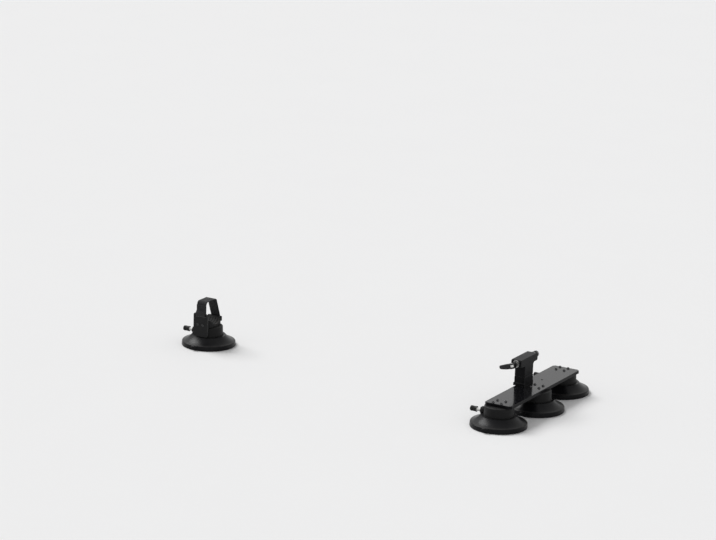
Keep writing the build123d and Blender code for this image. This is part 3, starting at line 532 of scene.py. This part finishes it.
# Clamp faces and axle tube
# Hardened steel faces with teeth that grip what is clamped on them, at both ends of the upright
# round its ground steel tube. Clamping has scored them.
bite_steel = Finish("bite_steel", Metallic=1.0)
bite_cloud = bite_steel.noise(120, 5)
scored = bite_steel.noise(800, 4, 0.7, bite_steel.moved(scale=(1, 0.2, 1)))
bite_edge = bite_steel.edges(radius=0.0005, strength=2.5)
bite_steel.set("Base Color", bite_steel.shades(scored, (0.34, 0.34, 0.33), (0.62, 0.62, 0.60)))
bite_steel.set("Roughness", 0.22 + bite_cloud * 0.2 + scored * 0.1 - bite_edge * 0.08)
bite_steel.bump(scored * 0.7 + bite_cloud * 0.3, distance=0.00005)
dress(bite_steel, "right_dropout_face", "left_dropout_face", "axle_tube")


# Skewer, its seat, pin, lever and nut
# A steel rod with a forked cam lever of forged steel in black paint on its near end, a moulded
# seat for the cam and a fluted black nut on its far end. The lever is rubbed along its edges.
rod_steel = Finish("rod_steel", Metallic=1.0)
rod_cloud = rod_steel.noise(150, 4)
ground = rod_steel.noise(1100, 3, 0.6, rod_steel.moved(scale=(1, 0.1, 1)))
rod_steel.set("Base Color", rod_steel.shades(rod_cloud, (0.48, 0.48, 0.47), (0.66, 0.66, 0.64)))
rod_steel.set("Roughness", 0.18 + ground * 0.2)
rod_steel.bump(ground, distance=0.00003)
dress(rod_steel, "skewer_rod", "cam_pin")

lever_paint = Finish("lever_paint", IOR=1.5, Specular_IOR_Level=0.22)
paint_cloud = lever_paint.noise(60, 5)
peel = lever_paint.noise(700, 2, 0.4)
lever_edge = lever_paint.edges(radius=0.0008, strength=3.2)
rubbed_paint = (lever_edge * (0.15 + lever_paint.noise(260, 5) * 1.1)).kept()
lever_base = lever_paint.shades(paint_cloud, (0.011, 0.011, 0.012), (0.02, 0.02, 0.021))
lever_bare = lever_paint.shades(rubbed_paint * 0.7, lever_base, (0.30, 0.30, 0.29))
lever_paint.set("Base Color", lever_bare)
lever_paint.set("Metallic", rubbed_paint * 0.7)
lever_paint.set("Roughness", 0.2 + paint_cloud * 0.14 + rubbed_paint * 0.15)
lever_paint.bump(peel * 0.8 + rubbed_paint * -0.6, distance=0.00006)
dress(lever_paint, "cam_lever", "skewer_nut")

seat_nylon = nylon_finish("seat_nylon", grain=3000, gloss=0.5, shade=0.009)
dress(seat_nylon, "cam_seat")


# Saddle
# A trough of moulded black nylon screwed down on the rear hub, duller than the hubs,
# with scratches from grit along the trough and edges rubbed pale.
saddle_nylon = Finish("saddle_nylon", IOR=1.5, Specular_IOR_Level=0.14)
saddle_skin = {"Vector": saddle_nylon.places, "Scale": 1500.0}
saddle_grain = saddle_nylon.node("ShaderNodeTexVoronoi", {}, saddle_skin, "Distance")
saddle_cloud = saddle_nylon.noise(45, 5)
grit = saddle_nylon.noise(500, 5, 0.7, saddle_nylon.moved(turn=(0.5, 0, 0), scale=(0.12, 1, 1)))
grit_marks = ((grit - 0.60).kept() * 4).kept()
saddle_edge = (saddle_nylon.edges(radius=0.001, strength=2.4) * (0.3 + saddle_cloud)).kept()
saddle_base = saddle_nylon.shades(saddle_cloud, (0.007, 0.007, 0.008), (0.018, 0.018, 0.018))
saddle_grit = saddle_nylon.shades(grit_marks * 0.3, saddle_base, (0.07, 0.07, 0.068))
saddle_worn = saddle_nylon.shades(saddle_edge * 0.45, saddle_grit, (0.08, 0.08, 0.078))
saddle_nylon.set("Base Color", saddle_worn)
saddle_nylon.set("Roughness", 0.44 + saddle_cloud * 0.16)
saddle_nylon.bump(saddle_grain * 0.5 + grit_marks * -0.4, distance=0.0001)
dress(saddle_nylon, "wheel_saddle")


# Saddle pad
# A strip of soft rubber moulded with grooves and bonded in the trough, matt and slightly dusty.
pad_rubber = Finish("pad_rubber", IOR=1.5, Specular_IOR_Level=0.3)
pad_cloud = pad_rubber.noise(70, 5)
pad_skin = pad_rubber.noise(1600, 4)
pad_dust = ((pad_cloud - 0.45) * 2).kept() * pad_skin
pad_colour = pad_rubber.shades(pad_dust, (0.014, 0.014, 0.014), (0.075, 0.073, 0.068))
pad_rubber.set("Base Color", pad_colour)
pad_rubber.set("Roughness", 0.68 + pad_cloud * 0.2)
pad_rubber.bump(pad_skin, distance=0.00012)
dress(pad_rubber, "saddle_pad")


# Strap bracket and anchor plate
# A bent bar and a flat one of laser-cut steel, powder coated black and screwed on. The coat has
# an orange-peel skin, and webbing and keys have rubbed it bare along the slot and corners.
def powder_finish(name):
    """Black powder coat over steel."""
    powder = Finish(name, IOR=1.5, Specular_IOR_Level=0.15)
    cloud = powder.noise(50, 5)
    skin = powder.noise(850, 2, 0.4)
    powder_edge = powder.edges(radius=0.0008, strength=3.0)
    struck = (powder_edge * ((powder.noise(230, 5) - 0.35).kept() * 2)).kept()
    base = powder.shades(cloud, (0.006, 0.006, 0.007), (0.015, 0.015, 0.015))
    powder.set("Base Color", powder.shades(struck * 0.8, base, (0.28, 0.27, 0.26)))
    powder.set("Metallic", struck * 0.8)
    powder.set("Roughness", 0.3 + cloud * 0.16 + struck * 0.1)
    powder.bump(skin * 0.8 + struck * -0.6, distance=0.00008)
    return powder


dress(powder_finish("bracket_powder"), "strap_bracket")
dress(powder_finish("anchor_powder"), "anchor_plate")


# Webbing strap
# One length of 30 mm black polyester webbing with a herringbone weave: sewn back on itself
# through the bracket's slot, led over the saddle in an arch and held under the anchor plate.
strap_low, strap_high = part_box("wheel_strap")
bracket_low, bracket_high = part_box("strap_bracket")
anchor_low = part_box("anchor_plate")[0]
saddle_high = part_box("wheel_saddle")[1]
strap_width = 0.030
strap_thickness = 0.0016
half_band = 0.001
bracket_gap = 0.0003
lap_gap = 0.0022
slot_depth = 0.0049
tail_top = 0.122
tail_bend = bracket_high.z + 0.009
bracket_bend = bracket_high.z + 0.002
arch_end = 0.012
bend_radius = 0.003
corner_radius = 0.009
strap_x = (strap_low.x + strap_high.x) / 2
strap_top = strap_high.z - half_band
inner_run = bracket_high.y + bracket_gap + half_band
outer_run = bracket_low.y - bracket_gap - half_band
tail_run = inner_run - lap_gap
far_run = strap_high.y - half_band
loop_middle = bracket_high.z - slot_depth
loop_radius = (inner_run - outer_run) / 2
loop_bend = loop_radius * 0.999


def rounded_line(corners, radii, step):
    """Points along a line of straight runs whose corners are rounded by the radii given."""
    points = [Vector(corners[0])]
    for before, corner, after, radius in zip(corners, corners[1:], corners[2:], radii):
        before, corner, after = Vector(before), Vector(corner), Vector(after)
        back, on = (before - corner).normalized(), (after - corner).normalized()
        half = back.angle(on) / 2
        reach = radius / math.tan(half)
        centre = corner + (back + on).normalized() * (radius / math.sin(half))
        start, stop = corner + back * reach - centre, corner + on * reach - centre
        sweep = start.angle(stop)
        count = max(3, int(sweep * radius / step))
        for k in range(count + 1):
            share = k / count
            turn = math.sin((1 - share) * sweep) * start + math.sin(share * sweep) * stop
            points.append(centre + turn / math.sin(sweep))
    points.append(Vector(corners[-1]))
    line = [points[0]]
    for point in points[1:]:
        gap = (point - line[-1]).length
        if gap < step * 0.05:
            continue
        parts = max(1, round(gap / step))
        origin = line[-1].copy()
        for k in range(1, parts + 1):
            line.append(origin.lerp(point, k / parts))
    return line


strap_corners = [
    (tail_run, tail_top),
    (tail_run, tail_bend),
    (outer_run, bracket_bend),
    (outer_run, loop_middle - loop_radius),
    (inner_run, loop_middle - loop_radius),
    (inner_run, strap_top),
    (arch_end, strap_top),
    (far_run, saddle_high.z),
    (far_run, anchor_low.z),
]
strap_radii = (bend_radius,) * 2 + (loop_bend,) * 2 + (corner_radius,) * 3
strap_line = rounded_line(strap_corners, strap_radii, step=0.0012)
strap_length = sum((b - a).length for a, b in zip(strap_line, strap_line[1:]))

strap_across = 20
selvedge_rise, selvedge_width = 0.00016, 0.0024
cord_rise, cord_count = 0.00005, 5
ripple_rise, ripple_rate = 0.00012, 310
edge_round = 0.0005
strap_vertices, strap_faces, strap_uvs = [], [], []
travelled = 0.0
for row, point in enumerate(strap_line):
    if row:
        travelled += (point - strap_line[row - 1]).length
    ahead = strap_line[min(row + 1, len(strap_line) - 1)] - strap_line[max(row - 1, 0)]
    normal = Vector((-ahead.y, ahead.x)).normalized()
    for k in range(strap_across + 1):
        share = k / strap_across
        edge = min(share, 1 - share) * strap_width
        ridge = selvedge_rise * (1 - min(1.0, edge / selvedge_width))
        cord = cord_rise * math.sin(share * math.tau * cord_count)
        ripple = ripple_rise * math.sin(travelled * ripple_rate) * (share - 0.5) * 2
        place = point + normal * (ridge + cord + ripple)
        strap_vertices.append((strap_x + (share - 0.5) * strap_width, place.x, place.y))
        strap_uvs.append((share, travelled / strap_width))
for row in range(len(strap_line) - 1):
    for k in range(strap_across):
        a = row * (strap_across + 1) + k
        strap_faces.append((a, a + 1, a + strap_across + 2, a + strap_across + 1))
strap_mesh = bpy.data.meshes.new("webbing_strap")
strap_mesh.from_pydata(strap_vertices, [], strap_faces)
strap_map = strap_mesh.uv_layers.new(name="webbing")
for loop in strap_mesh.loops:
    strap_map.data[loop.index].uv = strap_uvs[loop.vertex_index]
strap = bpy.data.objects.new("webbing_strap", strap_mesh)
bpy.context.scene.collection.objects.link(strap)
strap_body = strap.modifiers.new("body", "SOLIDIFY")
strap_body.thickness = strap_thickness
strap_body.offset = 0.0
strap_body.use_even_offset = True
strap_round = strap.modifiers.new("edges", "BEVEL")
strap_round.width = edge_round
strap_round.segments = 2
strap_round.limit_method = "ANGLE"
strap_mesh.shade_smooth()

webbing = Finish("webbing", IOR=1.5, Specular_IOR_Level=0.15, Sheen_Weight=0.08, Sheen_Roughness=0.45)
woven = webbing.node("ShaderNodeUVMap", {"uv_map": "webbing"}, {}, "UV")
weft, warp = webbing.axes(woven)[:2]
fold = ((weft * 4).math("FRACT") - 0.5).math("ABSOLUTE") * 2
herringbone = (warp * 22 + fold * 2.4).wave()
yarns = (weft * 26).wave()
weave = herringbone * 0.65 + yarns * 0.35
selvedge = ((0.055 - weft).kept() + (weft - 0.945).kept()) * 12
fuzz = webbing.noise(2600, 4, 0.7)
soil = ((webbing.noise(38, 5) - 0.42) * 2).kept()
thread_shade = webbing.shades(weave, (0.007, 0.007, 0.008), (0.034, 0.034, 0.036))
soiled = webbing.shades(soil * 0.35, thread_shade, (0.075, 0.071, 0.064))
webbing.set("Base Color", webbing.shades(selvedge.kept() * 0.3, soiled, (0.02, 0.02, 0.021)))
webbing.set("Roughness", 0.62 + weave * 0.16 + fuzz * 0.1)
webbing.bump(weave + fuzz * 0.35 + selvedge * 0.3, distance=0.0003)
strap_mesh.materials.append(webbing.material)

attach(strap, "rear_unit")
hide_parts("wheel_strap")


# Stitches
# Bonded polyester thread sews the strap's tail down in a box with a cross, through both layers.
stitches = Pattern("stitches", spacing=0.0026, stitch_length=0.0019, thread_radius=0.00028)
seam_line = stitches.node("GeometryNodeMeshToCurve", {}, {"Mesh": stitches.given["Guide"]})
seam_steps = {"Curve": seam_line, "Length": stitches.given["spacing"]}
seam_spots = stitches.node("GeometryNodeCurveToPoints", {"mode": "LENGTH"}, seam_steps)
thread_sizes = {"Vertices": 8, "Side Segments": 4}
thread_sizes["Radius"] = stitches.given["thread_radius"]
thread_sizes["Depth"] = stitches.given["stitch_length"]
thread = stitches.node("GeometryNodeMeshCylinder", {"fill_type": "TRIANGLE_FAN"}, thread_sizes)
thread_place = stitches.node("GeometryNodeInputPosition")
thread_height = stitches.node("ShaderNodeSeparateXYZ", {}, {0: thread_place}, "Z")
thread_up = thread_height / stitches.given["stitch_length"]
narrow = 1 - thread_up * thread_up * 2.6
thin = stitches.node("ShaderNodeCombineXYZ", {}, {0: narrow, 1: narrow, 2: 1.0})
tapered = {0: thread_place, 1: thin}
spindle_place = stitches.node("ShaderNodeVectorMath", {"operation": "MULTIPLY"}, tapered)
spindle = stitches.node("GeometryNodeSetPosition", {}, {"Geometry": thread, "Position": spindle_place})
seam_turn = Field(stitches.tree, seam_spots.socket.node.outputs["Rotation"])
set_stitches = {"Points": seam_spots, "Instance": spindle, "Rotation": seam_turn}
stitches.close(stitches.node("GeometryNodeInstanceOnPoints", {}, set_stitches))

thread_finish = Finish("thread", IOR=1.5, Specular_IOR_Level=0.4)
turns_per_metre = 2600
twist = (thread_finish.axes()[0] * turns_per_metre + thread_finish.axes()[2] * turns_per_metre).wave()
thread_finish.set("Base Color", thread_finish.shades(twist, (0.02, 0.02, 0.022), (0.06, 0.06, 0.062)))
thread_finish.set("Roughness", 0.42 + twist * 0.2)
thread_finish.bump(twist, distance=0.00008)

thread_proud = 0.00012
seam_above_bracket, seam_below_top, seam_from_edge = 0.0125, 0.002, 0.003
seam_y = tail_run - strap_thickness / 2 - thread_proud
seam_low, seam_high = bracket_high.z + seam_above_bracket, tail_top - seam_below_top
seam_reach = strap_width / 2 - seam_from_edge
seam_corners = [
    (strap_x - seam_reach, seam_y, seam_low),
    (strap_x + seam_reach, seam_y, seam_low),
    (strap_x + seam_reach, seam_y, seam_high),
    (strap_x - seam_reach, seam_y, seam_high),
]
seams = {
    "tail_box_stitches": [(0, 1), (1, 2), (2, 3), (3, 0)],
    "tail_cross_stitches": [(0, 2), (1, 3)],
}
for name, seam_lines in seams.items():
    sewn = stitches.make(name, "rear_unit", thread_finish, seam_corners, seam_lines)


# Floor
# A plain sheet under the carrier, pale enough to read as white and still hold a soft shadow.
# It lies a hair below the cups.
floor_reach, floor_drop = 40, 0.0003
floor_turns = ((-1, -1), (1, -1), (1, 1), (-1, 1))
floor_corners = [(x * floor_reach, y * floor_reach, -floor_drop) for x, y in floor_turns]
floor_mesh = bpy.data.meshes.new("floor")
floor_mesh.from_pydata(floor_corners, [], [(0, 1, 2, 3)])
floor = bpy.data.objects.new("floor", floor_mesh)
bpy.context.scene.collection.objects.link(floor)
paper = Finish("paper", Specular_IOR_Level=0.1)
paper_cloud = paper.noise(3, 3)
paper.set("Base Color", paper.shades(paper_cloud, (0.865, 0.865, 0.868), (0.88, 0.88, 0.882)))
paper.set("Roughness", 0.85 + paper_cloud * 0.1)
floor_mesh.materials.append(paper.material)


# Light
# A room that shows white to the lens and in reflections and is a dimmer fill on the carrier,
# and one broad soft lamp high on the left that draws the cups' slopes.
fill_strength = 0.46
lamp_way = Vector((0.64, -0.12, -0.72))
room = bpy.data.worlds.new("room")
room.use_nodes = True
bpy.context.scene.world = room
air = room.node_tree
paths = air.nodes.new("ShaderNodeLightPath")
seen = Field(air, paths.outputs["Is Camera Ray"])
for ray in ("Is Glossy Ray", "Is Transmission Ray"):
    seen = seen.math("MAXIMUM", Field(air, paths.outputs[ray]))
sky = air.nodes["Background"]
sky.inputs["Color"].default_value = (1, 1, 1, 1)
feed(air, sky.inputs["Strength"], fill_strength + seen * (1 - fill_strength))

soft_lamp = bpy.data.lights.new("soft_lamp", "SUN")
soft_lamp.energy = 2.15
soft_lamp.angle = math.radians(30)
lamp = bpy.data.objects.new("soft_lamp", soft_lamp)
bpy.context.scene.collection.objects.link(lamp)
lamp.rotation_mode = "QUATERNION"
lamp.rotation_quaternion = lamp_way.to_track_quat("-Z", "Y")

bpy.context.scene.view_settings.view_transform = "Standard"


# Camera
# It stands to the right of the carrier, ahead of it and above it, with a long lens. The heading
# is turned from straight across, the dip is downwards and the lean is a slight roll.
lens_pixels = 3015.0
frame_width = 716.0
camera_place = (3.8340, -6.7748, 2.3909)
heading, dip, lean = 0.5190, 0.2631, 0.0315
ahead = Vector((-math.sin(heading), math.cos(heading), 0))
forward = ahead * math.cos(dip) - Vector((0, 0, math.sin(dip)))
level = Vector((math.cos(heading), math.sin(heading), 0))
rise = level.cross(forward)
right = level * math.cos(lean) + rise * math.sin(lean)
upward = rise * math.cos(lean) - level * math.sin(lean)
lens = bpy.data.cameras.new("camera")
lens.sensor_width = 36.0
lens.lens = lens_pixels * lens.sensor_width / frame_width
lens.clip_start, lens.clip_end = 0.1, 200.0
camera = bpy.data.objects.new("camera", lens)
bpy.context.scene.collection.objects.link(camera)
turn = Matrix((right, upward, -forward)).transposed().to_4x4()
camera.matrix_world = Matrix.Translation(camera_place) @ turn
bpy.context.scene.camera = camera
